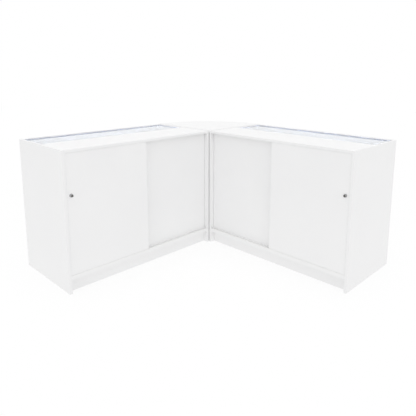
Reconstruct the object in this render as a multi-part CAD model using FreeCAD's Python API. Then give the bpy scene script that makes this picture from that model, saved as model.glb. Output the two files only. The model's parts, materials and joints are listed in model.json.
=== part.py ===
"""Corner shop counter: two mirrored counters with sliding doors, and a quarter-round corner unit.

Millimetres, +Z up, origin on the floor under the middle of the whole footprint. Each piece of a counter
is modelled in that counter's own frame: X runs from its inner end to its outer end, Y from the staff face
to the customer face. The right counter is that frame turned, and the left counter is its mirror image
across the plane x = y.
"""

import FreeCAD, Part
import math
import os

from FreeCAD import Vector

# One counter
COUNTER_LENGTH = 1200.0
COUNTER_DEPTH = 600.0
COUNTER_HEIGHT = 900.0
BOARD = 18.0
PLINTH_HEIGHT = 90.0
PLINTH_SETBACK = 40.0
DECK_DEPTH = 300.0

# Spaces inside a counter, and the two shelves between them
DISPLAY_SPACE = 162.0
LOWER_SPACE = 290.0
SHELF_DOOR_GAP = 6.0
STORAGE_SHELF_SETBACK = 24.0
STORAGE_SHELF_GAP = 1.0

# Sunken glass top and the rails that carry it
GLASS_THICKNESS = 10.0
GLASS_GAP = 1.5
RAIL_HEIGHT = 18.0
RAIL_REST = 15.0
RAIL_GRIP = 15.0

# Light under the staff rail
LIGHT_HEIGHT = 16.0
LIGHT_DEPTH = 8.0
LIGHT_WALL = 1.5
LIGHT_END_GAP = 20.0
DIFFUSER_THICKNESS = 2.0

# Sliding doors
DOOR_THICKNESS = 16.0
DOOR_SETBACK = 3.0
DOOR_SPACING = 12.0
DOOR_END_GAP = 1.5
DOOR_OVERLAP = 10.0
DOOR_TOP_GAP = 0.8
DOOR_FOOT_GAP = 1.0

# Door tracks
SLOT_WIDTH = 7.0
TRACK_DEPTH = 9.0
TRACK_WALL = 1.5
TRACK_FIT = 0.1
SOLE_THICKNESS = 1.2
CHANNEL_WALL = 1.2
CHANNEL_GAP = 1.4
LIP_HEIGHT = 7.3
RIB_HEIGHT = 2.8

# Runners let into the doors
RUNNER_INSET = 60.0
GUIDE_RADIUS = 5.0
GUIDE_LET_IN = 20.0
GUIDE_SIDE_GAP = 0.4
GUIDE_TOP_GAP = 1.5
GLIDE_LENGTH = 40.0
GLIDE_WIDTH = 10.0
GLIDE_LET_IN = 14.0
GLIDE_SOLE_GAP = 0.5

# Push lock in the front door
LOCK_INSET = 45.0
LOCK_LEVEL = 622.0
BEZEL_RADIUS = 12.0
BEZEL_THICKNESS = 1.5
HOUSING_RADIUS = 10.5
HOUSING_TAIL = 4.0
HOUSING_BACK_WALL = 2.0
NUT_FLATS = 27.0
NUT_THICKNESS = 3.5
PLUNGER_RADIUS = 9.0
PLUNGER_PROUD = 11.0
PLUNGER_STROKE = 8.5
PLUNGER_STOP_GAP = 0.5
PLUNGER_CHAMFER = 1.0
LATCH_RADIUS = 4.5
LATCH_DOOR_GAP = 0.8
PLUG_RADIUS = 5.5
PLUG_DEPTH = 12.0
PLUG_PROUD = 0.4
KEYWAY_WIDTH = 2.0
KEYWAY_HEIGHT = 8.0
KEYWAY_DEPTH = 7.0
RUNNING_FIT = 0.1
PLUG_FIT = 0.05

# Keep on the outer end panel
KEEP_THICKNESS = 2.0
KEEP_HEIGHT = 34.0
KEEP_REACH = 14.0
KEEP_NUT_GAP = 2.0
KEEP_SHELF_GAP = 2.0
KEEP_HOLE_GAP = 0.6
KEEP_SCREW_SPACING = 18.0
KEEP_SCREW_RADIUS = 2.0
KEEP_SCREW_LENGTH = 14.0
KEEP_SCREW_HEAD_RADIUS = 3.6
KEEP_SCREW_HEAD = 1.2

# Cam fittings that draw the boards together
CAM_RADIUS = 7.5
CAM_DEPTH = 12.5
CAM_PROUD = 0.3
CAM_SLOT_LENGTH = 9.0
CAM_SLOT_WIDTH = 1.6
CAM_SLOT_DEPTH = 2.0
CAM_REACH = 30.0
CAM_BOLT_RADIUS = 3.0
CAM_BOLT_BITE = 11.0
CAM_ROW_INSET = 50.0
CAM_RUN_INSET = 300.0
DRILL_FIT = 0.1

# Shelf pins and their column of spare holes
PIN_RADIUS = 2.5
PIN_SUNK = 8.0
PIN_PROUD = 10.0
PIN_INSET = 70.0
PIN_SHELF_GAP = 0.1
PIN_PITCH = 32.0
PIN_SPARE_ROWS = 2

# Sleeve connectors between a counter and the corner unit
CONNECTOR_INSET = 140.0
SLEEVE_RADIUS = 4.0
SLEEVE_LENGTH = 28.0
CONNECTOR_HEAD_RADIUS = 7.0
CONNECTOR_HEAD = 2.0
CONNECTOR_SCREW_RADIUS = 2.5
CONNECTOR_SCREW_LENGTH = 24.0

# Corner unit
CORNER_RISE = 4.0
CORNER_SETBACK = 2.5
CORNER_RELIEF = 6.0
SKIN_THICKNESS = 6.0
SKIN_GLUE_GAP = 0.2
FORMER_LEVEL = 500.0
CORNER_CAM_INSET = 90.0

# Directions in a counter's own frame
ALONG = Vector(1, 0, 0)
DEEPER = Vector(0, 1, 0)
UP = Vector(0, 0, 1)

# Faces and levels of a counter
INNER_FACE = BOARD
OUTER_FACE = COUNTER_LENGTH - BOARD
CUSTOMER_FACE = COUNTER_DEPTH - BOARD
FLOOR_TOP = PLINTH_HEIGHT + BOARD
DECK_UNDER = COUNTER_HEIGHT - BOARD
STORAGE_UNDER = FLOOR_TOP + LOWER_SPACE
STORAGE_TOP = STORAGE_UNDER + BOARD
DISPLAY_TOP = DECK_UNDER - DISPLAY_SPACE
DISPLAY_UNDER = DISPLAY_TOP - BOARD
LOWER_MIDDLE = (FLOOR_TOP + STORAGE_UNDER) / 2
UPPER_MIDDLE = (STORAGE_TOP + DISPLAY_UNDER) / 2
DISPLAY_MIDDLE = (DISPLAY_TOP + DECK_UNDER) / 2
RAIL_UNDER = DECK_UNDER - RAIL_HEIGHT

# Doors and the lines that their runners follow
DOOR_WIDTH = (OUTER_FACE - INNER_FACE - 2 * DOOR_END_GAP + DOOR_OVERLAP) / 2
SOLE_TOP = FLOOR_TOP + SOLE_THICKNESS
DOOR_FOOT = SOLE_TOP + DOOR_FOOT_GAP
DOOR_HEAD = DECK_UNDER - DOOR_TOP_GAP
FRONT_START = OUTER_FACE - DOOR_END_GAP - DOOR_WIDTH
REAR_START = INNER_FACE + DOOR_END_GAP
FRONT_FACE = DOOR_SETBACK
FRONT_BACK = FRONT_FACE + DOOR_THICKNESS
REAR_FACE = FRONT_BACK + DOOR_SPACING
REAR_BACK = REAR_FACE + DOOR_THICKNESS
FRONT_LINE = (FRONT_FACE + FRONT_BACK) / 2
REAR_LINE = (REAR_FACE + REAR_BACK) / 2
SHELF_FRONT = REAR_BACK + SHELF_DOOR_GAP
TRACK_FRONT = FRONT_LINE - SLOT_WIDTH / 2 - TRACK_WALL
TRACK_BACK = REAR_LINE + SLOT_WIDTH / 2 + TRACK_WALL

# Lock and keep
LOCK_ALONG = COUNTER_LENGTH - LOCK_INSET
HOUSING_END = FRONT_BACK + HOUSING_TAIL
HOUSING_SEAT = HOUSING_END - HOUSING_BACK_WALL
PLUNGER_FACE = FRONT_FACE - PLUNGER_PROUD
PLUNGER_STOP = HOUSING_SEAT - PLUNGER_STROKE - PLUNGER_STOP_GAP
LATCH_TIP = REAR_FACE - LATCH_DOOR_GAP - PLUNGER_STROKE
KEEP_FACE = HOUSING_END + KEEP_NUT_GAP
KEEP_BACK = SHELF_FRONT - KEEP_SHELF_GAP

# Corner unit in the whole part's frame: both counters' inner ends meet at this x and y
CORNER_RADIUS = COUNTER_DEPTH + CORNER_SETBACK
CORNER_HEIGHT = COUNTER_HEIGHT + CORNER_RISE
CORNER_UNDER = CORNER_HEIGHT - BOARD
SKIN_INSIDE = CORNER_RADIUS - SKIN_THICKNESS
FORMER_RADIUS = SKIN_INSIDE - SKIN_GLUE_GAP
SIDE_END = math.sqrt(FORMER_RADIUS**2 - BOARD**2)
INNER_CORNER = (COUNTER_LENGTH - CORNER_RADIUS) / 2

# Inside face of each end panel, with the direction from it into the panel
END_FACES = ((INNER_FACE, -ALONG), (OUTER_FACE, ALONG))


def block(x, y, z):
    """A square-edged piece from its low and high places along, across and up."""
    return Part.makeBox(x[1] - x[0], y[1] - y[0], z[1] - z[0], Vector(x[0], y[0], z[0]))


def lock_rod(radius, start, end):
    """A round piece on the lock's axis between two depths."""
    return Part.makeCylinder(radius, end - start, Vector(LOCK_ALONG, start, LOCK_LEVEL), DEEPER)


def on_right(shape):
    """A shape from a counter's own frame, set in the right counter's place."""
    placed = shape.copy()
    placed.rotate(Vector(0, 0, 0), UP, -90)
    placed.translate(Vector(INNER_CORNER + CORNER_SETBACK, INNER_CORNER, 0))
    return placed


def on_left(shape):
    """A shape from a counter's own frame, set in the left counter's place."""
    return on_right(shape).mirror(Vector(0, 0, 0), Vector(1, -1, 0))


def cam_slot(point, inward, along):
    """One arm of the cross slot in a cam disc's face."""
    reach = along * (CAM_SLOT_LENGTH / 2)
    half = inward.cross(along) * (CAM_SLOT_WIDTH / 2)
    start = point - reach - half
    corners = [start, point + reach - half, point + reach + half, point - reach + half, start]
    return Part.Face(Part.makePolygon(corners)).extrude(inward * CAM_SLOT_DEPTH)


def cam_fitting(point, inward, toward):
    """A cam disc, its bolt and the hollow they need, from where the disc's axis meets its board's face."""
    middle = point + inward * (BOARD / 2)
    face = point - inward * CAM_PROUD
    cross_slot = [cam_slot(face, inward, toward), cam_slot(face, inward, inward.cross(toward))]
    bolt_start = CAM_RADIUS + DRILL_FIT
    bolt_end = CAM_REACH + CAM_BOLT_BITE
    disc = Part.makeCylinder(CAM_RADIUS, CAM_DEPTH + CAM_PROUD, face, inward).cut(cross_slot)
    bolt = Part.makeCylinder(CAM_BOLT_RADIUS, bolt_end - bolt_start, middle + toward * bolt_start, toward)
    pocket = Part.makeCylinder(CAM_RADIUS + DRILL_FIT, CAM_DEPTH, point, inward)
    hole = Part.makeCylinder(CAM_BOLT_RADIUS + DRILL_FIT, bolt_end, middle, toward)
    return disc, bolt, pocket.fuse(hole)


def lying_board_fittings(underside, rows):
    """Fittings that draw both ends of a lying board against the end panels."""
    return [
        cam_fitting(Vector(face, row, underside) - toward * CAM_REACH, UP, toward)
        for face, toward in END_FACES
        for row in rows
    ]


def customer_edge_fittings(underside):
    """Fittings that draw a lying board's long edge against the customer panel."""
    return [
        cam_fitting(Vector(run, CUSTOMER_FACE - CAM_REACH, underside), UP, DEEPER)
        for run in (INNER_FACE + CAM_RUN_INSET, OUTER_FACE - CAM_RUN_INSET)
    ]


def counter_fittings():
    """Every cam fitting of one counter."""
    deck_rows = (TRACK_BACK + CAM_ROW_INSET, DECK_DEPTH - RAIL_GRIP - CAM_ROW_INSET)
    shelf_rows = (SHELF_FRONT + CAM_ROW_INSET, CUSTOMER_FACE - 2 * CAM_ROW_INSET)
    plinth_back = PLINTH_SETBACK + BOARD
    floor_rows = (plinth_back + CAM_ROW_INSET, CUSTOMER_FACE - 2 * CAM_ROW_INSET)
    plinth_fittings = [
        cam_fitting(Vector(face, plinth_back, PLINTH_HEIGHT / 2) - toward * CAM_REACH, -DEEPER, toward)
        for face, toward in END_FACES
    ]
    end_panel_fittings = [
        cam_fitting(Vector(face, CUSTOMER_FACE - CAM_REACH, level), toward, DEEPER)
        for face, toward in END_FACES
        for level in (LOWER_MIDDLE, UPPER_MIDDLE, DISPLAY_MIDDLE)
    ]
    return (
        lying_board_fittings(DECK_UNDER, deck_rows)
        + lying_board_fittings(DISPLAY_UNDER, shelf_rows)
        + lying_board_fittings(PLINTH_HEIGHT, floor_rows)
        + customer_edge_fittings(DISPLAY_UNDER)
        + customer_edge_fittings(PLINTH_HEIGHT)
        + plinth_fittings
        + end_panel_fittings
    )


def shelf_pins():
    """Pins under the storage shelf, and the holes for them and for its other levels."""
    level = STORAGE_UNDER - PIN_RADIUS - PIN_SHELF_GAP
    seats = [
        (Vector(face, row, level), toward)
        for face, toward in END_FACES
        for row in (SHELF_FRONT + PIN_INSET, CUSTOMER_FACE - PIN_INSET)
    ]
    seats.append((Vector(COUNTER_LENGTH / 2, CUSTOMER_FACE, level), DEEPER))
    pins = []
    holes = []
    for seat, toward in seats:
        start = seat - toward * PIN_PROUD
        pins.append(Part.makeCylinder(PIN_RADIUS, PIN_PROUD + PIN_SUNK, start, toward))
        for row in range(-PIN_SPARE_ROWS, PIN_SPARE_ROWS + 1):
            mouth = seat + UP * (row * PIN_PITCH)
            holes.append(Part.makeCylinder(PIN_RADIUS + DRILL_FIT, PIN_SUNK, mouth, toward))
    return pins, holes


def connectors():
    """Sleeves and screws that hold a counter's inner end panel to the corner unit, and their holes."""
    sleeves = []
    screws = []
    holes = []
    for row in (CONNECTOR_INSET, CUSTOMER_FACE - CONNECTOR_INSET):
        for level in (LOWER_MIDDLE, UPPER_MIDDLE):
            sleeve_mouth = Vector(INNER_FACE, row, level)
            screw_mouth = Vector(-BOARD, row, level)
            sleeve = Part.makeCylinder(CONNECTOR_HEAD_RADIUS, CONNECTOR_HEAD, sleeve_mouth, ALONG)
            sleeve = sleeve.fuse(Part.makeCylinder(SLEEVE_RADIUS, SLEEVE_LENGTH, sleeve_mouth, -ALONG))
            bore_radius = CONNECTOR_SCREW_RADIUS + DRILL_FIT
            sleeves.append(sleeve.cut(Part.makeCylinder(bore_radius, SLEEVE_LENGTH, sleeve_mouth, -ALONG)))
            screw = Part.makeCylinder(CONNECTOR_HEAD_RADIUS, CONNECTOR_HEAD, screw_mouth, -ALONG)
            screws.append(screw.fuse(
                Part.makeCylinder(CONNECTOR_SCREW_RADIUS, CONNECTOR_SCREW_LENGTH, screw_mouth, ALONG)
            ))
            holes.append(Part.makeCylinder(SLEEVE_RADIUS + DRILL_FIT, 2 * BOARD, screw_mouth, ALONG))
    return sleeves, screws, holes


def keep_screws():
    """Screws that hold the keep to the outer end panel, and their holes in the panel."""
    row = (KEEP_FACE + KEEP_THICKNESS + KEEP_BACK) / 2
    screws = []
    holes = []
    for step in (-KEEP_SCREW_SPACING / 2, KEEP_SCREW_SPACING / 2):
        seat = Vector(OUTER_FACE - KEEP_THICKNESS, row, LOCK_LEVEL + step)
        head = Part.makeCylinder(KEEP_SCREW_HEAD_RADIUS, KEEP_SCREW_HEAD, seat, -ALONG)
        screws.append(head.fuse(Part.makeCylinder(KEEP_SCREW_RADIUS, KEEP_SCREW_LENGTH, seat, ALONG)))
        holes.append(Part.makeCylinder(KEEP_SCREW_RADIUS + DRILL_FIT, KEEP_SCREW_LENGTH, seat, ALONG))
    return screws, holes


def carcass_boards(hollows):
    """The fixed boards of one counter, drilled wherever a fitting, pin, screw or connector passes."""
    between_ends = (INNER_FACE, OUTER_FACE)
    end_depth = (0, CUSTOMER_FACE)
    full_height = (0, COUNTER_HEIGHT)
    deck = block(between_ends, (0, DECK_DEPTH), (DECK_UNDER, COUNTER_HEIGHT))
    groove = block(
        between_ends,
        (TRACK_FRONT - TRACK_FIT, TRACK_BACK + TRACK_FIT),
        (DECK_UNDER, DECK_UNDER + TRACK_DEPTH),
    )
    plinth_depth = (PLINTH_SETBACK, PLINTH_SETBACK + BOARD)
    boards = {
        "outer_end_panel": block((OUTER_FACE, COUNTER_LENGTH), end_depth, full_height),
        "inner_end_panel": block((0, INNER_FACE), end_depth, full_height),
        "customer_panel": block((0, COUNTER_LENGTH), (CUSTOMER_FACE, COUNTER_DEPTH), full_height),
        "deck_panel": deck.cut(groove),
        "bottom_panel": block(between_ends, end_depth, (PLINTH_HEIGHT, FLOOR_TOP)),
        "plinth": block(between_ends, plinth_depth, (0, PLINTH_HEIGHT)),
        "display_shelf": block(between_ends, (SHELF_FRONT, CUSTOMER_FACE), (DISPLAY_UNDER, DISPLAY_TOP)),
    }
    return {name: board.cut(hollows) for name, board in boards.items()}


def storage_shelf():
    """The loose shelf that lies on the pins."""
    return block(
        (INNER_FACE + STORAGE_SHELF_GAP, OUTER_FACE - STORAGE_SHELF_GAP),
        (SHELF_FRONT + STORAGE_SHELF_SETBACK, CUSTOMER_FACE - STORAGE_SHELF_GAP),
        (STORAGE_UNDER, STORAGE_TOP),
    )


def glass_pieces():
    """The sunken pane and the two rails that it lies on."""
    between_ends = (INNER_FACE, OUTER_FACE)
    rail_height = (RAIL_UNDER, DECK_UNDER)
    staff_rail = (DECK_DEPTH - RAIL_GRIP, DECK_DEPTH + RAIL_REST)
    customer_rail = (CUSTOMER_FACE - RAIL_REST, CUSTOMER_FACE)
    return {
        "glass_top": block(
            (INNER_FACE + GLASS_GAP, OUTER_FACE - GLASS_GAP),
            (DECK_DEPTH + GLASS_GAP, CUSTOMER_FACE - GLASS_GAP),
            (DECK_UNDER, DECK_UNDER + GLASS_THICKNESS),
        ),
        "glass_rail_staff": block(between_ends, staff_rail, rail_height),
        "glass_rail_customer": block(between_ends, customer_rail, rail_height),
    }


def light_pieces():
    """The light's channel under the staff rail, and the diffuser in its mouth towards the customer."""
    run = (INNER_FACE + LIGHT_END_GAP, OUTER_FACE - LIGHT_END_GAP)
    mouth = DECK_DEPTH + RAIL_REST
    back = mouth - LIGHT_DEPTH
    foot = RAIL_UNDER - LIGHT_HEIGHT
    inside = (foot + LIGHT_WALL, RAIL_UNDER - LIGHT_WALL)
    channel = block(run, (back, mouth), (foot, RAIL_UNDER))
    return {
        "light_channel": channel.cut(block(run, (back + LIGHT_WALL, mouth), inside)),
        "light_diffuser": block(run, (mouth - DIFFUSER_THICKNESS, mouth), inside),
    }


def upper_track():
    """The double guide channel let into the deck, with a hollow between its two slots."""
    run = (INNER_FACE, OUTER_FACE)
    hollow_height = (DECK_UNDER, DECK_UNDER + TRACK_DEPTH - TRACK_WALL)
    half_slot = SLOT_WIDTH / 2
    track = block(run, (TRACK_FRONT, TRACK_BACK), (DECK_UNDER, DECK_UNDER + TRACK_DEPTH))
    middle = (FRONT_LINE + half_slot + TRACK_WALL, REAR_LINE - half_slot - TRACK_WALL)
    slots = [
        block(run, (line - half_slot, line + half_slot), hollow_height)
        for line in (FRONT_LINE, REAR_LINE)
    ]
    return track.cut(slots + [block(run, middle, hollow_height)])


def lower_track():
    """The double channel on the bottom panel: a sole, a lip before the front door and two low ribs."""
    run = (INNER_FACE, OUTER_FACE)
    lip = (FRONT_FACE - CHANNEL_GAP - CHANNEL_WALL, FRONT_FACE - CHANNEL_GAP)
    middle_rib = (FRONT_BACK + CHANNEL_GAP, REAR_FACE - CHANNEL_GAP)
    back_rib = (REAR_BACK + CHANNEL_GAP, REAR_BACK + CHANNEL_GAP + CHANNEL_WALL)
    rib_height = (SOLE_TOP, SOLE_TOP + RIB_HEIGHT)
    sole = block(run, (lip[0], back_rib[1]), (FLOOR_TOP, SOLE_TOP))
    walls = [
        block(run, lip, (SOLE_TOP, SOLE_TOP + LIP_HEIGHT)),
        block(run, middle_rib, rib_height),
        block(run, back_rib, rib_height),
    ]
    return sole.fuse(walls).removeSplitter()


def door_with_runners(start, line):
    """A door from its inner edge and the line its runners follow, and its guides and glides."""
    half_door = DOOR_THICKNESS / 2
    door = block((start, start + DOOR_WIDTH), (line - half_door, line + half_door), (DOOR_FOOT, DOOR_HEAD))
    pin_radius = SLOT_WIDTH / 2 - GUIDE_SIDE_GAP
    pin_top = DECK_UNDER + TRACK_DEPTH - TRACK_WALL - GUIDE_TOP_GAP
    glide_foot = SOLE_TOP + GLIDE_SOLE_GAP
    runners = []
    for place in (start + RUNNER_INSET, start + DOOR_WIDTH - RUNNER_INSET):
        socket = Vector(place, line, DOOR_HEAD - GUIDE_LET_IN)
        guide = Part.makeCylinder(GUIDE_RADIUS, GUIDE_LET_IN, socket, UP)
        pin = Part.makeCylinder(pin_radius, pin_top - DOOR_HEAD, Vector(place, line, DOOR_HEAD), UP)
        glide_run = (place - GLIDE_LENGTH / 2, place + GLIDE_LENGTH / 2)
        glide_width = (line - GLIDE_WIDTH / 2, line + GLIDE_WIDTH / 2)
        glide = block(glide_run, glide_width, (glide_foot, DOOR_FOOT + GLIDE_LET_IN))
        guide_socket = Part.makeCylinder(GUIDE_RADIUS + DRILL_FIT, GUIDE_LET_IN, socket, UP)
        door = door.cut([guide_socket, glide])
        runners += [guide.fuse(pin), glide]
    return door, runners


def lock_pieces():
    """Housing, nut, plunger and key plug of the push lock, and the keep behind the door."""
    bezel = lock_rod(BEZEL_RADIUS, FRONT_FACE - BEZEL_THICKNESS, FRONT_FACE)
    housing = bezel.fuse(lock_rod(HOUSING_RADIUS, FRONT_FACE, HOUSING_END))
    bore = lock_rod(PLUNGER_RADIUS + RUNNING_FIT, FRONT_FACE - BEZEL_THICKNESS, HOUSING_SEAT)
    latch_hole = lock_rod(LATCH_RADIUS + RUNNING_FIT, HOUSING_SEAT, HOUSING_END)

    corner_radius = NUT_FLATS / 2 / math.cos(math.radians(30))
    corners = [
        Vector(
            LOCK_ALONG + corner_radius * math.cos(math.radians(60 * turn)),
            FRONT_BACK,
            LOCK_LEVEL + corner_radius * math.sin(math.radians(60 * turn)),
        )
        for turn in range(7)
    ]
    nut = Part.Face(Part.makePolygon(corners)).extrude(DEEPER * NUT_THICKNESS)
    nut = nut.cut(lock_rod(HOUSING_RADIUS + DRILL_FIT, FRONT_BACK, FRONT_BACK + NUT_THICKNESS))

    head = lock_rod(PLUNGER_RADIUS, PLUNGER_FACE, PLUNGER_STOP)
    rim = [
        edge for edge in head.Edges
        if abs(edge.CenterOfMass.y - PLUNGER_FACE) < PLUNGER_CHAMFER and len(edge.Vertexes) == 1
    ]
    head = head.makeChamfer(PLUNGER_CHAMFER, rim)
    latch = lock_rod(LATCH_RADIUS, PLUNGER_STOP, LATCH_TIP)
    plug_pocket = lock_rod(PLUG_RADIUS + PLUG_FIT, PLUNGER_FACE, PLUNGER_FACE + PLUG_DEPTH)
    plug_face = PLUNGER_FACE - PLUG_PROUD
    plug = lock_rod(PLUG_RADIUS, plug_face, PLUNGER_FACE + PLUG_DEPTH - PLUG_FIT)
    keyway = block(
        (LOCK_ALONG - KEYWAY_WIDTH / 2, LOCK_ALONG + KEYWAY_WIDTH / 2),
        (plug_face, plug_face + KEYWAY_DEPTH),
        (LOCK_LEVEL - KEYWAY_HEIGHT / 2, LOCK_LEVEL + KEYWAY_HEIGHT / 2),
    )

    keep_height = (LOCK_LEVEL - KEEP_HEIGHT / 2, LOCK_LEVEL + KEEP_HEIGHT / 2)
    plate = block((LOCK_ALONG - KEEP_REACH, OUTER_FACE), (KEEP_FACE, KEEP_FACE + KEEP_THICKNESS), keep_height)
    leg = block((OUTER_FACE - KEEP_THICKNESS, OUTER_FACE), (KEEP_FACE, KEEP_BACK), keep_height)
    keep_hole = lock_rod(LATCH_RADIUS + KEEP_HOLE_GAP, KEEP_FACE, KEEP_FACE + KEEP_THICKNESS)
    return {
        "lock_housing": housing.cut([bore, latch_hole]),
        "lock_nut": nut,
        "lock_plunger": head.fuse(latch).cut(plug_pocket),
        "lock_plug": plug.cut(keyway),
        "lock_keep": plate.fuse(leg).removeSplitter().cut(keep_hole),
    }


def counter_pieces(hollows, screw_holes):
    """Every piece of one counter that has a node of its own, in that counter's frame."""
    pieces = carcass_boards(hollows)
    pieces["storage_shelf"] = storage_shelf()
    pieces.update(glass_pieces())
    pieces.update(light_pieces())
    pieces["upper_track"] = upper_track()
    pieces["lower_track"] = lower_track()
    front_door, front_runners = door_with_runners(FRONT_START, FRONT_LINE)
    rear_door, rear_runners = door_with_runners(REAR_START, REAR_LINE)
    pieces["front_door"] = front_door.cut(lock_rod(HOUSING_RADIUS + DRILL_FIT, FRONT_FACE, FRONT_BACK))
    pieces["front_door_runners"] = Part.makeCompound(front_runners)
    pieces["rear_door"] = rear_door
    pieces["rear_door_runners"] = Part.makeCompound(rear_runners)
    pieces.update(lock_pieces())
    pieces["lock_keep"] = pieces["lock_keep"].cut(screw_holes)
    return pieces


def quarter_plate(radius, relief, foot, head):
    """A quarter disc about the inner corner, with its point cut back, between two levels."""
    centre = Vector(0, 0, foot)
    right_end = Vector(radius, 0, foot)
    left_end = Vector(0, radius, foot)
    diagonal = radius * math.cos(math.radians(45))
    rim = Part.Arc(right_end, Vector(diagonal, diagonal, foot), left_end).toShape()
    if relief > 0:
        right_start = centre + ALONG * relief
        left_start = centre + DEEPER * relief
        point = [Part.makeLine(left_start, right_start)]
    else:
        right_start = centre
        left_start = centre
        point = []
    outline = [Part.makeLine(right_start, right_end), rim, Part.makeLine(left_end, left_start)] + point
    plate = Part.Face(Part.Wire(outline)).extrude(UP * (head - foot))
    plate.translate(Vector(INNER_CORNER, INNER_CORNER, 0))
    return plate


def corner_block(x, y, z):
    """A square-edged piece of the corner unit, measured from the inner corner."""
    piece = block(x, y, z)
    piece.translate(Vector(INNER_CORNER, INNER_CORNER, 0))
    return piece


def corner_fittings():
    """Cam fittings of the corner unit: its sides to its top, and its base and former to its sides."""
    corner = Vector(INNER_CORNER, INNER_CORNER, 0)
    far = SIDE_END - CORNER_CAM_INSET
    fittings = []
    for across, outward in ((ALONG, DEEPER), (DEEPER, ALONG)):
        side_face = corner + across * BOARD
        for run in (BOARD + CORNER_CAM_INSET, far):
            on_side = side_face + outward * run
            top_point = on_side + UP * (CORNER_UNDER - CAM_REACH)
            fittings.append(cam_fitting(top_point, -across, UP))
        for underside in (PLINTH_HEIGHT, FORMER_LEVEL):
            for run in (BOARD + CORNER_CAM_INSET, far - CORNER_CAM_INSET):
                under_point = side_face + outward * run + across * CAM_REACH + UP * underside
                fittings.append(cam_fitting(under_point, UP, -across))
    return fittings


def corner_pieces(hollows):
    """Every board of the corner unit, in the whole part's frame."""
    side_height = (0, CORNER_UNDER)
    inside = corner_block((BOARD, CORNER_RADIUS), (BOARD, CORNER_RADIUS), (0, CORNER_HEIGHT))
    boards = {
        "corner_top": quarter_plate(CORNER_RADIUS, CORNER_RELIEF, CORNER_UNDER, CORNER_HEIGHT),
        "corner_left_side": corner_block((0, BOARD), (CORNER_RELIEF, SIDE_END), side_height),
        "corner_right_side": corner_block((BOARD, SIDE_END), (0, BOARD), side_height),
        "corner_base": quarter_plate(FORMER_RADIUS, 0, PLINTH_HEIGHT, FLOOR_TOP).common(inside),
        "corner_former": quarter_plate(FORMER_RADIUS, 0, FORMER_LEVEL, FORMER_LEVEL + BOARD).common(inside),
    }
    pieces = {name: board.cut(hollows) for name, board in boards.items()}
    skin = quarter_plate(CORNER_RADIUS, 0, 0, CORNER_UNDER)
    pieces["corner_curved_panel"] = skin.cut(quarter_plate(SKIN_INSIDE, 0, 0, CORNER_UNDER))
    return pieces


def on_both_sides(shapes):
    """Copies of small pieces from a counter's own frame, in both counters' places."""
    return [place(shape) for place in (on_left, on_right) for shape in shapes]


def save(name, shape):
    shape.exportStep(os.path.join("parts", name + ".step"))


def main():
    os.makedirs("parts", exist_ok=True)
    fittings = counter_fittings()
    pins, pin_holes = shelf_pins()
    sleeves, sleeve_screws, sleeve_holes = connectors()
    screws, screw_holes = keep_screws()
    fitting_hollows = [hollow for disc, bolt, hollow in fittings]
    pieces = counter_pieces(fitting_hollows + pin_holes + sleeve_holes + screw_holes, screw_holes)
    for name, shape in pieces.items():
        save("left_" + name, on_left(shape))
        save("right_" + name, on_right(shape))

    inner_fittings = corner_fittings()
    corner_hollows = [hollow for disc, bolt, hollow in inner_fittings] + on_both_sides(sleeve_holes)
    for name, shape in corner_pieces(corner_hollows).items():
        save(name, shape)

    discs = [disc for disc, bolt, hollow in inner_fittings]
    bolts = [bolt for disc, bolt, hollow in inner_fittings]
    discs += on_both_sides([disc for disc, bolt, hollow in fittings])
    bolts += on_both_sides([bolt for disc, bolt, hollow in fittings])
    groups = {
        "cam_discs": discs,
        "cam_bolts": bolts,
        "shelf_pins": on_both_sides(pins),
        "keep_screws": on_both_sides(screws),
        "connector_sleeves": on_both_sides(sleeves),
        "connector_screws": on_both_sides(sleeve_screws),
    }
    for name, shapes in groups.items():
        save(name, Part.makeCompound(shapes))


if __name__ == "__main__":
    main()
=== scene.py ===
import json
from math import cos, pi, radians, sin

import bpy
from mathutils import Matrix, Vector


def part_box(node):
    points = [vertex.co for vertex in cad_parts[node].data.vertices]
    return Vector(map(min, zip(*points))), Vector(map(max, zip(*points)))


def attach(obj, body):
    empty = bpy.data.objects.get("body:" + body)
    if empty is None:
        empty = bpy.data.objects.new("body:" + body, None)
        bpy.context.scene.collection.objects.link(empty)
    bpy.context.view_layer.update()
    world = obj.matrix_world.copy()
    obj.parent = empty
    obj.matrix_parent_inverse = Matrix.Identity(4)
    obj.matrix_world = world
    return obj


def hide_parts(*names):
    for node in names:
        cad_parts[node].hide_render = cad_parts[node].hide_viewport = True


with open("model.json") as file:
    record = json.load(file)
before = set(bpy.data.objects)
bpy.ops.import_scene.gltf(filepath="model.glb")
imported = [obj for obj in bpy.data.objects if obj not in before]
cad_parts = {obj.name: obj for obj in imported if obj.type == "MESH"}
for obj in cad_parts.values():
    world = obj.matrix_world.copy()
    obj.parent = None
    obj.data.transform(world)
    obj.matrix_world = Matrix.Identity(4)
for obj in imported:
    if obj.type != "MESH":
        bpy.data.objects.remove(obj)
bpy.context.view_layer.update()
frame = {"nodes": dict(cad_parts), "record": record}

MM = 0.001
SIDES = ("left", "right")
BODY_OF = {
    node: body
    for body, nodes in frame["record"]["behaviour"]["bodies"].items()
    for node in nodes
}

# The right counter mirrors the left one across the plane x = y
MIRROR = Matrix(((0, 1, 0, 0), (1, 0, 0, 0), (0, 0, 1, 0), (0, 0, 0, 1)))

# Edges sharper than the first angle are rounded; edges blunter than the second are shaded smooth
ROUNDED_ABOVE = radians(40)
SMOOTH_BELOW = radians(38)
ROUNDING_STEPS = 3

# How far a normal reaches along an axis on a face square to it, and on a face along it
FACING = 0.9
ALONG = 0.1

# The upright axis
Z_AXIS = 2

# Place of a piece's second material
SECOND_MATERIAL = 1

# Boards
EDGING_BAND = 2.0 * MM
BOARD_ROUNDING = 0.8 * MM
WORKTOP_ROUNDING = 1.6 * MM
BATTEN_ROUNDING = 0.5 * MM
TRACK_FIT = 0.1 * MM
CUTTER_MARGIN = 5 * MM

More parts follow.
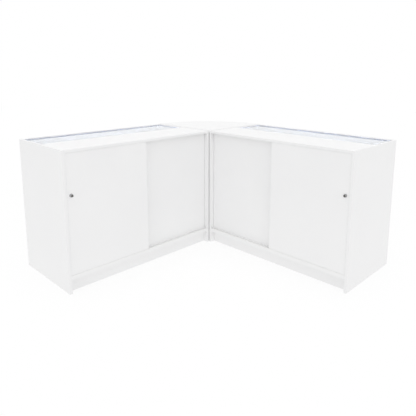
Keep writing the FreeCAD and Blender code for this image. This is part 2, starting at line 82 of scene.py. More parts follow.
# Shelf pin holes in the end panels and the customer panel
PIN_HOLE_RADIUS = 2.6 * MM
PIN_HOLE_DEPTH = 8 * MM
PIN_HOLE_INSET = 70 * MM
PIN_HOLE_DROP = 2.6 * MM
PIN_HOLE_PITCH = 32 * MM
PIN_SPARE_ROWS = 2
PIN_DRILL_SIDES = 24
PIN_DRILL_LEAD = 1 * MM

# Corner unit
ARC_SIDES = 256
CORNER_RELIEF = 6 * MM
SKIN_ROUNDING = 0.6 * MM
SKIN_GLUE_LINE = 0.2 * MM

# Glass
PANE_ARRIS = 0.9 * MM
ARRIS_STEPS = 2
PANE_PAD = 0.3 * MM

# Lock
LOCK_SIDES = 72
BEZEL_THICKNESS = 1.5 * MM
BEZEL_OVERHANG = 1.5 * MM
HOUSING_RADIUS = 10.5 * MM
HOUSING_WALL = 1.4 * MM
DOOR_BORE_RADIUS = 10.6 * MM
BUTTON_RADIUS = 9 * MM
BUTTON_LENGTH = 20 * MM
BUTTON_RIM = 1.0 * MM
RIM_STEPS = 4
RIM_REACH = 1 * MM
BOLT_RADIUS = 4.5 * MM
PLUG_RADIUS = 5.5 * MM
PLUG_POCKET_RADIUS = 5.55 * MM
PLUG_POCKET_DEPTH = 12 * MM
KEYWAY_WIDTH = 2 * MM
KEYWAY_HEIGHT = 8 * MM
KEYWAY_DEPTH = 7 * MM
LOCK_ROUNDING = 0.25 * MM
PLUG_ROUNDING = 0.15 * MM
PLUG_STEPS = 2

# Finishes
BOARD_RELIEF = 0.2 * MM
CHIP_RELIEF = 0.4 * MM
PANE_RELIEF = 0.2 * MM
PANE_WAVE = 0.01
METAL_RELIEF = 0.05 * MM
MOULDED_RELIEF = 0.1 * MM
SCUFF_TONE = (0.52, 0.5, 0.47)
SCUFF_SHARE = 0.06
SCUFF_ROUGHENING = 0.15
STRIP_LAMP_PITCH = 16.7 * MM
STRIP_GLOW = 12.0
BRUSHING = {"left": (6, 2200, 2200), "right": (2200, 6, 2200)}

# Camera: place in metres, angles in degrees, lens and sensor in millimetres
CAMERA_PLACE = (-2.060, -2.062, 1.366)
CAMERA_YAW = 45.97
CAMERA_PITCH = 10.42
CAMERA_ROLL = 0.29
CAMERA_LENS = 37.81
CAMERA_SENSOR = 36
CAMERA_SHIFT = (-0.0207, -0.140)

# Studio, in metres and degrees
FLOOR_RADIUS = 14
FLOOR_SIDES = 96
FLOOR_DROP = 0.5 * MM
FLOOR_GLOW = 0.85
SKY_LEVEL = 0.85
FACE_LAMP_STRENGTH = 0.24
FACE_LAMP_ELEVATION = 14
FACE_LAMP_TURN = 12
FACE_LAMP_SPREAD = 18
TOP_LAMP_STRENGTH = 0.46
TOP_LAMP_HEADING = 45
TOP_LAMP_ELEVATION = 90
TOP_LAMP_SPREAD = 40


# Modelling by hand

def clear_selection():
    bpy.ops.object.select_all(action="DESELECT")


def take_up(piece):
    """Makes a piece the only selected one, and the active one."""
    clear_selection()
    piece.select_set(True)
    bpy.context.view_layer.objects.active = piece


def settle(name):
    """Names the new primitive and puts its place, turn and size into its mesh."""
    piece = bpy.context.object
    piece.name = name
    piece.data.name = name
    bpy.ops.object.transform_apply(location=True, rotation=True, scale=True)
    return piece


def block(name, low, high):
    """A square block between two corners."""
    clear_selection()
    bpy.ops.mesh.primitive_cube_add(size=1, location=(low + high) / 2)
    bpy.context.object.scale = high - low
    return settle(name)


def round_bar(name, radius, start, end, sides, caps="NGON"):
    """A round bar between two points, or a tube of no thickness where it has no caps."""
    clear_selection()
    run = end - start
    bpy.ops.mesh.primitive_cylinder_add(
        vertices=sides,
        radius=radius,
        depth=run.length,
        end_fill_type=caps,
        location=(start + end) / 2,
        rotation=run.to_track_quat("Z", "Y").to_euler(),
    )
    return settle(name)


def select_none(mesh):
    for part in (mesh.vertices, mesh.edges, mesh.polygons):
        part.foreach_set("select", [False] * len(part))


def edit_faces(piece, wanted):
    """Goes into edit mode with the wanted faces selected."""
    take_up(piece)
    bpy.context.tool_settings.mesh_select_mode = (False, False, True)
    select_none(piece.data)
    for face in piece.data.polygons:
        face.select = wanted(face)
    bpy.ops.object.mode_set(mode="EDIT")


def edit_edges(piece, wanted):
    """Goes into edit mode with the edges selected whose two ends are wanted."""
    take_up(piece)
    bpy.context.tool_settings.mesh_select_mode = (False, True, False)
    mesh = piece.data
    select_none(mesh)
    for edge in mesh.edges:
        edge.select = all(wanted(mesh.vertices[corner].co) for corner in edge.vertices)
    bpy.ops.object.mode_set(mode="EDIT")


def leave_edit():
    bpy.ops.object.mode_set(mode="OBJECT")


def slice_off(piece, point, keep_side, close=True):
    """Cuts a piece with a plane and keeps the side that the direction points to."""
    edit_faces(piece, lambda face: True)
    bpy.ops.mesh.bisect(plane_co=point, plane_no=keep_side, use_fill=close, clear_inner=True)
    leave_edit()


def apply_modifier(piece, kind, **settings):
    take_up(piece)
    modifier = piece.modifiers.new(kind.lower(), kind)
    for name, value in settings.items():
        setattr(modifier, name, value)
    bpy.ops.object.modifier_apply(modifier=modifier.name)


def round_edges(piece, radius, segments=ROUNDING_STEPS):
    apply_modifier(
        piece,
        "BEVEL",
        width=radius,
        segments=segments,
        limit_method="ANGLE",
        angle_limit=ROUNDED_ABOVE,
    )


def smooth(piece):
    """Smooth rounded edges and arcs between flat faces that stay flat."""
    take_up(piece)
    bpy.ops.object.shade_smooth_by_angle(angle=SMOOTH_BELOW)
    apply_modifier(piece, "WEIGHTED_NORMAL", keep_sharp=True)


def cut_out(piece, cutter):
    """Takes the cutter's shape out of a piece; the cut shows the cutter's material."""
    apply_modifier(
        piece,
        "BOOLEAN",
        operation="DIFFERENCE",
        solver="EXACT",
        material_mode="TRANSFER",
        object=cutter,
    )
    bpy.data.objects.remove(cutter)


def right_copy(piece):
    """A copy of a piece of the left counter, mirrored into the right one."""
    take_up(piece)
    bpy.ops.object.duplicate()
    copy = bpy.context.object
    copy.name = piece.name.replace("left_", "right_", 1)
    copy.data.name = copy.name
    copy.matrix_world = MIRROR
    bpy.ops.object.transform_apply(location=True, rotation=True, scale=True)
    edit_faces(copy, lambda face: True)
    bpy.ops.mesh.normals_make_consistent(inside=False)
    leave_edit()
    return copy


def paint(piece, *materials):
    piece.data.materials.clear()
    for material in materials:
        piece.data.materials.append(material)


def paint_two(piece, main, other, takes_other):
    """One material on a piece, and another on the faces that take it."""
    paint(piece, main, other)
    for face in piece.data.polygons:
        face.material_index = SECOND_MATERIAL if takes_other(face) else 0


def fit(piece, slot, *nodes):
    """Sets a finished piece in the frame in place of its CAD nodes."""
    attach(piece, BODY_OF[nodes[0]])
    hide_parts(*nodes)


# Node groups and materials

def add_node(tree, kind, feeds=None, **settings):
    """A node with its settings, and what feeds each of its inputs."""
    node = tree.nodes.new(kind)
    for name, value in settings.items():
        setattr(node, name, value)
    for socket, source in (feeds or {}).items():
        if isinstance(source, bpy.types.NodeSocket):
            tree.links.new(source, node.inputs[socket])
        else:
            node.inputs[socket].default_value = source
    return node


def calculate(tree, operation, *values):
    """The outcome of a sum with one, two or three values."""
    return add_node(
        tree, "ShaderNodeMath", dict(enumerate(values)), operation=operation
    ).outputs["Value"]


def noise(tree, place, scale, detail, roughness=0.5):
    """A soft noise, most of it between 0.3 and 0.7."""
    return add_node(
        tree,
        "ShaderNodeTexNoise",
        {"Vector": place, "Scale": scale, "Detail": detail, "Roughness": roughness},
    ).outputs["Fac"]


def spread(tree, value, low, high, start=0.3, end=0.7):
    """A value mapped to run between low and high."""
    return add_node(
        tree,
        "ShaderNodeMapRange",
        {"Value": value, "From Min": start, "From Max": end, "To Min": low, "To Max": high},
    ).outputs["Result"]


def two_tones(tree, amount, low, high):
    """A colour between two tones."""
    mix = add_node(tree, "ShaderNodeMix", {"Factor": amount}, data_type="RGBA")
    colours = [socket for socket in mix.inputs if socket.type == "RGBA"]
    for socket, tone in zip(colours, (low, high)):
        if isinstance(tone, bpy.types.NodeSocket):
            tree.links.new(tone, socket)
        else:
            socket.default_value = (*tone, 1.0)
    return next(socket for socket in mix.outputs if socket.type == "RGBA")


def raised(tree, height, strength, distance):
    """A normal that follows a height."""
    return add_node(
        tree, "ShaderNodeBump", {"Height": height, "Strength": strength, "Distance": distance}
    ).outputs["Normal"]


def new_group(name, inputs, outputs):
    """An empty shader group with a Vector input, the named values and the named outputs."""
    group = bpy.data.node_groups.new(name, "ShaderNodeTree")
    group.interface.new_socket(name="Vector", in_out="INPUT", socket_type="NodeSocketVector")
    for socket, value in inputs.items():
        made = group.interface.new_socket(
            name=socket, in_out="INPUT", socket_type="NodeSocketFloat"
        )
        made.default_value = value
    for socket in outputs:
        group.interface.new_socket(name=socket, in_out="OUTPUT", socket_type="NodeSocketFloat")
    entry = group.nodes.new("NodeGroupInput").outputs
    exit_node = group.nodes.new("NodeGroupOutput").inputs
    return group, entry, exit_node


def pressed_grain_group():
    """The pearl of a pressed melamine face and the slow drift of its white."""
    group, entry, leave = new_group(
        "pressed_grain", {"Grain Scale": 900.0, "Drift Scale": 2.4}, ("Height", "Drift")
    )
    grain = noise(group, entry["Vector"], entry["Grain Scale"], detail=2.0, roughness=0.6)
    drift = noise(group, entry["Vector"], entry["Drift Scale"], detail=3.0, roughness=0.55)
    group.links.new(grain, leave["Height"])
    group.links.new(drift, leave["Drift"])
    return group


def foot_scuffs_group():
    """Marks left by shoes and mops, strongest at the floor and gone above the reach."""
    group, entry, leave = new_group("foot_scuffs", {"Reach": 0.12, "Mark Scale": 26.0}, ("Mask",))
    height = add_node(group, "ShaderNodeSeparateXYZ", {"Vector": entry["Vector"]}).outputs["Z"]
    nearness = spread(group, height, 0.0, 1.0, start=entry["Reach"], end=0.0)
    marks = noise(group, entry["Vector"], entry["Mark Scale"], detail=5.0, roughness=0.7)
    sharp = spread(group, marks, 0.0, 1.0, start=0.5, end=0.75)
    group.links.new(calculate(group, "MULTIPLY", nearness, sharp), leave["Mask"])
    return group


def metal_grain_group():
    """Fine lines where the vector is stretched, or a fine matt grain where it isn't."""
    group, entry, leave = new_group("metal_grain", {"Stain Scale": 14.0}, ("Height", "Stain"))
    lines = noise(group, entry["Vector"], scale=1.0, detail=4.0, roughness=0.65)
    place = add_node(group, "ShaderNodeTexCoord").outputs["Object"]
    stain = noise(group, place, entry["Stain Scale"], detail=3.0)
    group.links.new(lines, leave["Height"])
    group.links.new(stain, leave["Stain"])
    return group


PRESSED_GRAIN = pressed_grain_group()
FOOT_SCUFFS = foot_scuffs_group()
METAL_GRAIN = metal_grain_group()


def new_material(name, **constants):
    """A Principled material with its constant sockets set; gives it, its tree, shader and place."""
    material = bpy.data.materials.new(name)
    material.use_nodes = True
    tree = material.node_tree
    shader = tree.nodes["Principled BSDF"]
    for socket, value in constants.items():
        shader.inputs[socket.replace("_", " ")].default_value = value
    place = add_node(tree, "ShaderNodeTexCoord").outputs["Object"]
    return material, tree, shader.inputs, place


def place_group(tree, group, feeds):
    """A shared group set in a material, with what feeds its inputs."""
    return add_node(tree, "ShaderNodeGroup", feeds, node_tree=group).outputs


def white_board(name, dark, light, grain_scale, smoothest, roughest, bump):
    """White board or edging: a drifting satin, a pressed grain and marks near the floor."""
    material, tree, shader, place = new_material(name, IOR=1.5)
    grain = place_group(tree, PRESSED_GRAIN, {"Vector": place, "Grain Scale": grain_scale})
    scuffs = place_group(tree, FOOT_SCUFFS, {"Vector": place})
    clean = two_tones(tree, spread(tree, grain["Drift"], 0.0, 1.0), dark, light)
    marked = spread(tree, scuffs["Mask"], 0.0, SCUFF_SHARE, start=0.0, end=1.0)
    tree.links.new(two_tones(tree, marked, clean, SCUFF_TONE), shader["Base Color"])
    satin = spread(tree, grain["Drift"], smoothest, roughest)
    rubbed = calculate(tree, "MULTIPLY_ADD", scuffs["Mask"], SCUFF_ROUGHENING, satin)
    tree.links.new(rubbed, shader["Roughness"])
    tree.links.new(raised(tree, grain["Height"], bump, BOARD_RELIEF), shader["Normal"])
    return material


def raw_chipboard():
    """Pressed chips inside a drilled hole."""
    material, tree, shader, place = new_material("raw_chipboard", IOR=1.4)
    chips = add_node(tree, "ShaderNodeTexVoronoi", {"Vector": place, "Scale": 420.0})
    tone = add_node(tree, "ShaderNodeSeparateColor", {"Color": chips.outputs["Color"]})
    colour = two_tones(tree, tone.outputs["Red"], (0.36, 0.25, 0.14), (0.62, 0.47, 0.3))
    roughness = spread(tree, tone.outputs["Green"], 0.75, 0.95, start=0.0, end=1.0)
    tree.links.new(colour, shader["Base Color"])
    tree.links.new(roughness, shader["Roughness"])
    tree.links.new(raised(tree, chips.outputs["Distance"], 0.5, CHIP_RELIEF), shader["Normal"])
    return material


def clear_pane(name, tint, clearness, smoothest, roughest):
    """Tinted float glass with smears and a roller wave; bounced light goes straight through."""
    material, tree, shader, place = new_material(
        name, Transmission_Weight=clearness, IOR=1.5, Base_Color=(*tint, 1.0)
    )
    smears = noise(tree, place, scale=9.0, detail=5.0, roughness=0.7)
    wave = noise(tree, place, scale=5.0, detail=1.0)
    roughness = spread(tree, smears, smoothest, roughest, start=0.45, end=0.8)
    tree.links.new(roughness, shader["Roughness"])
    tree.links.new(raised(tree, wave, PANE_WAVE, PANE_RELIEF), shader["Normal"])
    path = add_node(tree, "ShaderNodeLightPath").outputs
    tree.links.new(calculate(tree, "SUBTRACT", 1.0, path["Is Diffuse Ray"]), shader["Alpha"])
    return material


def lit_opal():
    """Opal strip with a row of small lamps glowing through it, for strips along X or along Y."""
    material, tree, shader, place = new_material(
        "lit_opal", Emission_Strength=STRIP_GLOW, IOR=1.49
    )
    axes = add_node(tree, "ShaderNodeSeparateXYZ", {"Vector": place}).outputs
    run = calculate(tree, "ADD", axes["X"], axes["Y"])
    turn = calculate(tree, "MULTIPLY", run, 2 * pi / STRIP_LAMP_PITCH)
    row = spread(tree, calculate(tree, "SINE", turn), 0.0, 1.0, start=-1.0, end=1.0)
    glow = two_tones(tree, row, (0.71, 0.77, 0.95), (0.79, 0.85, 1.0))
    cloud = noise(tree, place, scale=60.0, detail=2.0)
    colour = two_tones(tree, cloud, (0.84, 0.86, 0.88), (0.9, 0.92, 0.94))
    tree.links.new(glow, shader["Emission Color"])
    tree.links.new(colour, shader["Base Color"])
    tree.links.new(spread(tree, cloud, 0.45, 0.6), shader["Roughness"])
    return material


def metal(name, dark, light, stretch, smoothest, roughest, bump):
    """Metal whose grain follows the stretch: three scales, small along the lines."""
    material, tree, shader, place = new_material(name, Metallic=1.0)
    turned = add_node(tree, "ShaderNodeMapping", {"Vector": place, "Scale": stretch})
    grain = place_group(tree, METAL_GRAIN, {"Vector": turned.outputs["Vector"]})
    colour = two_tones(tree, spread(tree, grain["Stain"], 0.0, 1.0), dark, light)
    tree.links.new(colour, shader["Base Color"])
    tree.links.new(spread(tree, grain["Height"], smoothest, roughest), shader["Roughness"])
    tree.links.new(raised(tree, grain["Height"], bump, METAL_RELIEF), shader["Normal"])
    return material


def moulded(name, index, grain_scale, drift_scale, dark, light, smoothest, roughest, bump):
    """Plastic with a fine moulded skin, whose tone and shine drift together."""
    material, tree, shader, place = new_material(name, IOR=index)
    scales = {"Grain Scale": grain_scale, "Drift Scale": drift_scale}
    skin = place_group(tree, PRESSED_GRAIN, {"Vector": place, **scales})
    colour = two_tones(tree, spread(tree, skin["Drift"], 0.0, 1.0), dark, light)
    tree.links.new(colour, shader["Base Color"])
    tree.links.new(spread(tree, skin["Drift"], smoothest, roughest), shader["Roughness"])
    tree.links.new(raised(tree, skin["Height"], bump, MOULDED_RELIEF), shader["Normal"])
    return material


BOARD_FACE = white_board(
    "white_board_face",
    dark=(0.893, 0.893, 0.896),
    light=(0.91, 0.91, 0.911),
    grain_scale=900.0,
    smoothest=0.36,
    roughest=0.44,
    bump=0.12,
)
BOARD_EDGE = white_board(
    "white_board_edge",
    dark=(0.885, 0.886, 0.889),
    light=(0.902, 0.902, 0.904),
    grain_scale=420.0,
    smoothest=0.3,
    roughest=0.38,
    bump=0.08,
)
CHIPBOARD = raw_chipboard()
PANE_FACE = clear_pane(
    "clear_pane_face",
    tint=(0.94, 0.97, 1.0),
    clearness=1.0,
    smoothest=0.0,
    roughest=0.03,
)
# Opaque dark blue for the panes' edges and arrises: painted reflection, standing in for the tinted
# light seen along a glass edge
PANE_EDGE_PAINTED_REFLECTION = clear_pane(
    "ground_pane_edge_painted_reflection",
    tint=(0.1, 0.24, 0.62),
    clearness=0.0,
    smoothest=0.3,
    roughest=0.45,
)
LIT_OPAL = lit_opal()
ALUMINIUM = {
    side: metal(
        "brushed_aluminium_" + side,
        dark=(0.6, 0.61, 0.62),
        light=(0.68, 0.69, 0.7),
        stretch=stretch,
        smoothest=0.28,
        roughest=0.42,
        bump=0.25,
    )
    for side, stretch in BRUSHING.items()
}
CHROME = metal(
    "bright_chrome_plate",
    dark=(0.52, 0.522, 0.528),
    light=(0.6, 0.602, 0.608),
    stretch=(900, 900, 900),
    smoothest=0.08,
    roughest=0.18,
    bump=0.06,
)
# Nearly black metal for the button's front face: painted dark reflection, the dark that a chrome
# face mirrors
BUTTON_FACE_PAINTED_REFLECTION = metal(
    "satin_nickel_face",
    dark=(0.15, 0.15, 0.155),
    light=(0.21, 0.21, 0.215),
    stretch=(700, 700, 700),
    smoothest=0.28,
    roughest=0.4,
    bump=0.1,
)
STEEL = metal(
    "zinc_plated_steel",
    dark=(0.5, 0.51, 0.52),
    light=(0.6, 0.61, 0.61),
    stretch=(700, 700, 700),
    smoothest=0.3,
    roughest=0.45,
    bump=0.15,
)
# Nearly black metal for the lock's plug: painted dark reflection on the lock's front
PLUG_PAINTED_DARK_REFLECTION = metal(
    "plug_brass_painted_dark_reflection",
    dark=(0.16, 0.155, 0.142),
    light=(0.22, 0.213, 0.195),
    stretch=(900, 900, 900),
    smoothest=0.25,
    roughest=0.4,
    bump=0.1,
)
ZINC = metal(
    "cast_zinc",
    dark=(0.42, 0.43, 0.44),
    light=(0.54, 0.55, 0.56),
    stretch=(500, 500, 500),
    smoothest=0.4,
    roughest=0.6,
    bump=0.35,
)
NYLON = moulded(
    "moulded_nylon",
    index=1.53,
    grain_scale=2200.0,
    drift_scale=30.0,
    dark=(0.89, 0.89, 0.885),
    light=(0.92, 0.92, 0.915),
    smoothest=0.4,
    roughest=0.52,
    bump=0.2,
)
# Soft pads on the glass rails; their dark blue is painted shade, the shadow line under the pane's
# edges seen through the glass
PAD_TAPE_PAINTED_SHADE = moulded(
    "soft_pad_tape_painted_shade",
    index=1.45,
    grain_scale=1600.0,
    drift_scale=12.0,
    dark=(0.07, 0.13, 0.3),
    light=(0.1, 0.17, 0.36),
    smoothest=0.75,
    roughest=0.9,
    bump=0.3,
)


# Boards

def band_edges(piece, axis):
    """Leaves a band of edging round both broad faces, which are square to the axis."""
    edit_faces(piece, lambda face: abs(face.normal[axis]) > FACING)
    bpy.ops.mesh.inset(thickness=EDGING_BAND, use_individual=True)
    leave_edit()
    paint_two(piece, BOARD_FACE, BOARD_EDGE, lambda face: not face.select)


def board(node, rounding=BOARD_ROUNDING, cutters=()):
    """A white board in a node's place, with edging, eased edges and whatever is cut out of it."""
    low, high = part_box(node)
    size = high - low
    piece = block(node + "_board", low, high)
    band_edges(piece, min(range(3), key=lambda axis: size[axis]))
    round_edges(piece, rounding)
    for cutter in cutters:
        cut_out(piece, cutter)
    return piece


def finish_board(piece, node):
    smooth(piece)
    fit(piece, "white_melamine", node)


def finish_pair(left, name):
    """Finishes a board of the left counter, and its mirrored copy in the right one."""
    right = right_copy(left)
    finish_board(left, "left_" + name)
    finish_board(right, "right_" + name)


def both_boards(name, rounding=BOARD_ROUNDING, cutters=()):
    """A board in each counter."""
    finish_pair(board("left_" + name, rounding, cutters), name)


def both_glass_rails(name):
    """A batten under the glass in each counter, with soft pad tape on its top whose dark blue is
    painted shade: the shadow line under the pane's edge, seen through the glass.
    """
    left = board("left_" + name, BATTEN_ROUNDING)
    left.data.materials.append(PAD_TAPE_PAINTED_SHADE)
    tape = len(left.data.materials) - 1
    for face in left.data.polygons:
        if face.normal.z > FACING:
            face.material_index = tape
    finish_pair(left, name)


# Cutters for the left counter's boards

def pin_hole_cutter(mouths, direction):
    """Drill bits into a board for columns of shelf pin holes, each at its place in plan."""
    pin_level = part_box("left_storage_shelf")[0].z - PIN_HOLE_DROP
    bits = []
    for x, y in mouths:
        for row in range(-PIN_SPARE_ROWS, PIN_SPARE_ROWS + 1):
            mouth = Vector((x, y, pin_level + row * PIN_HOLE_PITCH))
            bit = round_bar(
                "pin_drill",
                PIN_HOLE_RADIUS,
                mouth - direction * PIN_DRILL_LEAD,
                mouth + direction * PIN_HOLE_DEPTH,
                PIN_DRILL_SIDES,
            )
            bits.append(bit)
    clear_selection()
    for bit in bits:
        bit.select_set(True)
    bpy.context.view_layer.objects.active = bits[0]
    bpy.ops.object.join()
    paint(bits[0], CHIPBOARD)
    return bits[0]


def track_groove_cutter():
    """The groove that the upper track is let into, run out past both ends of the deck."""
    low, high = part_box("left_upper_track")
    cutter = block(
        "track_groove_cutter",
        low - Vector((CUTTER_MARGIN, TRACK_FIT, CUTTER_MARGIN)),
        high + Vector((CUTTER_MARGIN, TRACK_FIT, 0)),
    )
    paint(cutter, CHIPBOARD)
    return cutter


def lock_bore_cutter():
    """The bore for the lock's housing, through the front door."""
    node = "left_lock_housing"
    low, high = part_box(node)
    start = lock_point(node, -CUTTER_MARGIN)
    end = lock_point(node, high.y - low.y + CUTTER_MARGIN)
    cutter = round_bar("lock_bore_cutter", DOOR_BORE_RADIUS, start, end, LOCK_SIDES)
    paint(cutter, CHIPBOARD)
    return cutter


def counter_boards():
    inner_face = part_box("left_inner_end_panel")[0].x
    outer_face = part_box("left_outer_end_panel")[1].x
    middle = (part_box("left_customer_panel")[0].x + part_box("left_customer_panel")[1].x) / 2
    customer_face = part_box("left_customer_panel")[0].y
    shelf_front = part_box("left_display_shelf")[0].y
    pin_rows = (shelf_front + PIN_HOLE_INSET, customer_face - PIN_HOLE_INSET)
    inner_holes = pin_hole_cutter([(inner_face, row) for row in pin_rows], Vector((1, 0, 0)))
    both_boards("inner_end_panel", WORKTOP_ROUNDING, [inner_holes])
    outer_holes = pin_hole_cutter([(outer_face, row) for row in pin_rows], Vector((-1, 0, 0)))
    both_boards("outer_end_panel", cutters=[outer_holes])
    customer_holes = pin_hole_cutter([(middle, customer_face)], Vector((0, 1, 0)))
    both_boards("customer_panel", WORKTOP_ROUNDING, [customer_holes])
    both_boards("deck_panel", cutters=[track_groove_cutter()])
    both_boards("front_door", cutters=[lock_bore_cutter()])
    for name in ("rear_door", "bottom_panel", "plinth", "display_shelf", "storage_shelf"):
        both_boards(name)
    for name in ("glass_rail_staff", "glass_rail_customer"):
        both_glass_rails(name)


# Corner unit

def corner_top():
    """The quarter-round top: a disc cut to a quarter, with its point taken off."""
    low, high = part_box("corner_top")
    centre = Vector((low.x, low.y, 0))
    piece = round_bar(
        "corner_top_board",
        high.x - low.x,
        centre + Vector((0, 0, low.z)),
        centre + Vector((0, 0, high.z)),
        ARC_SIDES,
    )
    slice_off(piece, centre, (1, 0, 0))
    slice_off(piece, centre, (0, 1, 0))
    half = CORNER_RELIEF / 2
    slice_off(piece, centre + Vector((half, half, 0)), (1, 1, 0))
    band_edges(piece, Z_AXIS)
    round_edges(piece, WORKTOP_ROUNDING)
    finish_board(piece, "corner_top")


def corner_skin():
    """The bent panel of the corner: a tube cut to a quarter and given its thickness inwards."""
    low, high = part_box("corner_curved_panel")
    centre = Vector((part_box("corner_top")[0].x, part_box("corner_top")[0].y, 0))
    radius = high.x - centre.x
    thickness = radius - (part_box("corner_former")[1].x - centre.x) - SKIN_GLUE_LINE
    piece = round_bar(
        "corner_curved_panel_board",
        radius,
        centre + Vector((0, 0, low.z)),
        centre + Vector((0, 0, high.z)),
        ARC_SIDES,
        caps="NOTHING",
    )
    for direction in ((1, 0, 0), (0, 1, 0)):
        slice_off(piece, centre, direction, close=False)
    apply_modifier(piece, "SOLIDIFY", thickness=thickness, offset=-1, use_even_offset=True)

    def on_edge(face):
        outward = Vector((face.center.x - centre.x, face.center.y - centre.y, 0)).normalized()
        return abs(outward.dot(face.normal)) <= FACING

    paint_two(piece, BOARD_FACE, BOARD_EDGE, on_edge)
    round_edges(piece, SKIN_ROUNDING)
    finish_board(piece, "corner_curved_panel")


def corner_unit():
    corner_top()
    corner_skin()
    for node in ("corner_left_side", "corner_right_side"):
        finish_board(board(node), node)


# Glass

def glass_panes():
    """The sunken panes, a pad's thickness above the rails, with ground edges and eased arrises in
    an opaque dark blue that is painted reflection.
    """
    low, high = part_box("left_glass_top")
    left = block("left_glass_top_pane", low + Vector((0, 0, PANE_PAD)), high)
    paint_two(left, PANE_FACE, PANE_EDGE_PAINTED_REFLECTION, lambda face: abs(face.normal.z) <= FACING)
    apply_modifier(
        left,
        "BEVEL",
        width=PANE_ARRIS,
        segments=ARRIS_STEPS,
        limit_method="ANGLE",
        material=SECOND_MATERIAL,
    )
    right = right_copy(left)
    for side, piece in zip(SIDES, (left, right)):
        smooth(piece)
        fit(piece, "clear_glass", side + "_glass_top")


# Lock, modelled on the left counter, where its axis runs along Y

def lock_point(node, deep):
    """A point on the left lock's axis at a distance behind a node's front."""
    low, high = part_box(node)
    return Vector(((low.x + high.x) / 2, low.y + deep, (low.z + high.z) / 2))


def lock_housing():
    """The barrel in the door, bored through, with a bezel turned on its front."""
    node = "left_lock_housing"
    low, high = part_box(node)
    length = high.y - low.y
    axis = lock_point(node, 0)
    piece = round_bar(
        node + "_barrel", HOUSING_RADIUS, axis, lock_point(node, length), LOCK_SIDES
    )
    edit_faces(piece, lambda face: abs(face.normal.y) > FACING)
    bpy.ops.mesh.inset(thickness=HOUSING_WALL, use_individual=True)
    bpy.ops.mesh.bridge_edge_loops()
    leave_edit()
    edit_faces(piece, lambda face: True)
    bpy.ops.mesh.bisect(plane_co=lock_point(node, BEZEL_THICKNESS), plane_no=(0, 1, 0))
    leave_edit()

    def on_bezel(face):
        arm = Vector((face.center.x - axis.x, 0, face.center.z - axis.z))
        outside = arm.dot(face.normal) > 0 and abs(face.normal.y) < ALONG
        return outside and face.center.y < low.y + BEZEL_THICKNESS

    edit_faces(piece, on_bezel)
    bpy.ops.mesh.extrude_region_shrink_fatten(TRANSFORM_OT_shrink_fatten={"value": BEZEL_OVERHANG})
    leave_edit()
    round_edges(piece, LOCK_ROUNDING)
    paint(piece, CHROME)
    return piece


def lock_button():
    """The button: a round head with an eased rim, a pocket for the plug and the bolt behind it."""
    node = "left_lock_plunger"
    low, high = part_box(node)
    axis = lock_point(node, 0)
    piece = round_bar(
        node + "_button", BUTTON_RADIUS, axis, lock_point(node, BUTTON_LENGTH), LOCK_SIDES
    )
    edit_faces(piece, lambda face: face.normal.y < -FACING)
    bpy.ops.mesh.inset(thickness=BUTTON_RADIUS - PLUG_POCKET_RADIUS)
    bpy.ops.mesh.extrude_region_move(TRANSFORM_OT_translate={"value": (0, PLUG_POCKET_DEPTH, 0)})
    leave_edit()
    edit_faces(piece, lambda face: face.normal.y > FACING)
    bpy.ops.mesh.inset(thickness=BUTTON_RADIUS - BOLT_RADIUS)
    bolt_length = high.y - low.y - BUTTON_LENGTH
    bpy.ops.mesh.extrude_region_move(TRANSFORM_OT_translate={"value": (0, bolt_length, 0)})
    leave_edit()

    def on_rim(corner):
        arm = Vector((corner.x - axis.x, 0, corner.z - axis.z)).length
        return corner.y < low.y + RIM_REACH and arm > BUTTON_RADIUS - RIM_REACH

    def on_front(face):
        return face.normal.y < -FACING and face.center.y < low.y + RIM_REACH

    edit_edges(piece, on_rim)
    bpy.ops.mesh.bevel(offset=BUTTON_RIM, segments=RIM_STEPS, affect="EDGES")
    leave_edit()
    round_edges(piece, LOCK_ROUNDING)
    # The front face takes a nearly black metal, painted dark reflection
    paint_two(piece, CHROME, BUTTON_FACE_PAINTED_REFLECTION, on_front)
    return piece


def lock_plug():
    """The plug that the key turns, with its key slot."""
    node = "left_lock_plug"
    low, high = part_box(node)
    piece = round_bar(
        node + "_barrel",
        PLUG_RADIUS,
        lock_point(node, 0),
        lock_point(node, high.y - low.y),
        LOCK_SIDES,
    )
    # The plug is a nearly black metal, painted dark reflection on the lock's front
    paint(piece, PLUG_PAINTED_DARK_REFLECTION)
    slot_half = Vector((KEYWAY_WIDTH / 2, 0, KEYWAY_HEIGHT / 2))
    cutter = block(
        "key_slot_cutter",
        lock_point(node, -CUTTER_MARGIN) - slot_half,
        lock_point(node, KEYWAY_DEPTH) + slot_half,
    )
    paint(cutter, PLUG_PAINTED_DARK_REFLECTION)
    cut_out(piece, cutter)
    round_edges(piece, PLUG_ROUNDING, segments=PLUG_STEPS)
    return piece


def locks():
    for node, make, slot in (
        ("lock_housing", lock_housing, "bright_chrome"),
        ("lock_plunger", lock_button, "bright_chrome"),
        ("lock_plug", lock_plug, "dull_brass"),
    ):
        left = make()
        right = right_copy(left)
        for side, piece in zip(SIDES, (left, right)):
            smooth(piece)
            fit(piece, slot, side + "_" + node)


# CAD nodes whose shapes stay, with their finishes

def finish_nodes():
    finishes = {
        "cam_discs": ZINC,
        "cam_bolts": STEEL,
        "shelf_pins": STEEL,
        "keep_screws": STEEL,
        "connector_sleeves": STEEL,
        "connector_screws": STEEL,
        "corner_base": BOARD_FACE,
        "corner_former": BOARD_FACE,
    }
    for side in SIDES:
        finishes[side + "_lock_nut"] = STEEL
        finishes[side + "_lock_keep"] = STEEL
        finishes[side + "_light_diffuser"] = LIT_OPAL
        finishes[side + "_light_channel"] = ALUMINIUM[side]
        for name in ("upper_track", "lower_track", "front_door_runners", "rear_door_runners"):
            finishes[side + "_" + name] = NYLON
    for node, material in finishes.items():
        for holder in frame["nodes"][node].material_slots:
            holder.material = material


# Studio

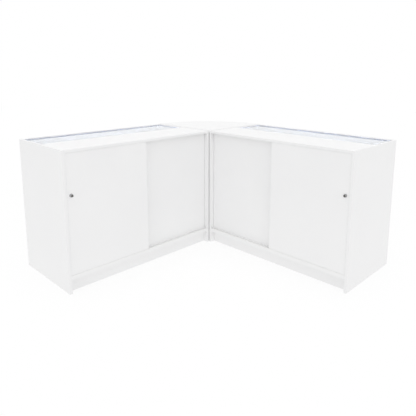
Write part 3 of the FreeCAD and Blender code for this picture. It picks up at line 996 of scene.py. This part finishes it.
def seen_directly(tree):
    """One for what is seen straight, in gloss or through glass, and zero for light on surfaces."""
    path = add_node(tree, "ShaderNodeLightPath").outputs
    pair = calculate(tree, "MAXIMUM", path["Is Camera Ray"], path["Is Glossy Ray"])
    return calculate(tree, "MAXIMUM", pair, path["Is Transmission Ray"])


def studio_floor():
    """A pale floor that takes the part's soft shadow but doesn't shade the part from below."""
    clear_selection()
    bpy.ops.mesh.primitive_circle_add(
        vertices=FLOOR_SIDES,
        radius=FLOOR_RADIUS,
        fill_type="NGON",
        location=(0, 0, -FLOOR_DROP),
    )
    floor = settle("studio_floor")
    floor.visible_diffuse = False
    floor.visible_shadow = False
    material, tree, shader, place = new_material("pale_floor", Roughness=0.9)
    cloud = noise(tree, place, scale=0.7, detail=2.0)
    colour = two_tones(tree, cloud, (0.965, 0.965, 0.965), (0.985, 0.985, 0.985))
    tree.links.new(colour, shader["Base Color"])
    share = calculate(tree, "MULTIPLY", seen_directly(tree), FLOOR_GLOW)
    glow = add_node(tree, "ShaderNodeEmission", {"Color": (1, 1, 1, 1), "Strength": 1.0})
    mix = add_node(
        tree,
        "ShaderNodeMixShader",
        {
            0: share,
            1: tree.nodes["Principled BSDF"].outputs["BSDF"],
            2: glow.outputs["Emission"],
        },
    )
    tree.links.new(mix.outputs["Shader"], tree.nodes["Material Output"].inputs["Surface"])
    paint(floor, material)


def soft_lamp(name, strength, spread_angle, heading, elevation):
    """A wide, far lamp, whose light travels along a heading counted from +X towards +Y."""
    lamp = bpy.data.lights.new(name, "SUN")
    lamp.energy = strength
    lamp.angle = radians(spread_angle)
    holder = bpy.data.objects.new(name, lamp)
    holder.visible_glossy = False
    bpy.context.scene.collection.objects.link(holder)
    turn, fall = radians(heading), radians(elevation)
    toward = Vector((cos(turn) * cos(fall), sin(turn) * cos(fall), -sin(fall)))
    holder.rotation_euler = toward.to_track_quat("-Z", "Y").to_euler()


def studio_light():
    """A white surround, a low soft lamp before each counter's doors and one straight overhead."""
    world = bpy.data.worlds.new("white_surround")
    bpy.context.scene.world = world
    world.use_nodes = True
    tree = world.node_tree
    surround = tree.nodes["Background"]
    surround.inputs["Color"].default_value = (1, 1, 1, 1)
    level = spread(tree, seen_directly(tree), SKY_LEVEL, 1.0, start=0.0, end=1.0)
    tree.links.new(level, surround.inputs["Strength"])
    for side, heading in zip(SIDES, (90 - FACE_LAMP_TURN, FACE_LAMP_TURN)):
        soft_lamp(
            side + "_face_lamp",
            FACE_LAMP_STRENGTH,
            FACE_LAMP_SPREAD,
            heading,
            FACE_LAMP_ELEVATION,
        )
    soft_lamp(
        "top_lamp", TOP_LAMP_STRENGTH, TOP_LAMP_SPREAD, TOP_LAMP_HEADING, TOP_LAMP_ELEVATION
    )


def camera():
    """The photograph's viewpoint: ahead, right and up of the camera set as its axes."""
    yaw, pitch, roll = radians(CAMERA_YAW), radians(CAMERA_PITCH), radians(CAMERA_ROLL)
    ahead = Vector((sin(yaw) * cos(pitch), cos(yaw) * cos(pitch), -sin(pitch)))
    level_right = Vector((cos(yaw), -sin(yaw), 0))
    level_up = level_right.cross(ahead)
    right = level_right * cos(roll) + level_up * sin(roll)
    up = level_up * cos(roll) - level_right * sin(roll)
    data = bpy.data.cameras.new("camera")
    data.sensor_width = CAMERA_SENSOR
    data.lens = CAMERA_LENS
    data.shift_x, data.shift_y = CAMERA_SHIFT
    holder = bpy.data.objects.new("camera", data)
    bpy.context.scene.collection.objects.link(holder)
    axes = Matrix((right, up, -ahead)).transposed().to_4x4()
    holder.matrix_world = Matrix.Translation(CAMERA_PLACE) @ axes
    bpy.context.scene.camera = holder


camera()
counter_boards()
glass_panes()
corner_unit()
locks()
finish_nodes()
studio_floor()
studio_light()
bpy.context.scene.view_settings.view_transform = "Standard"
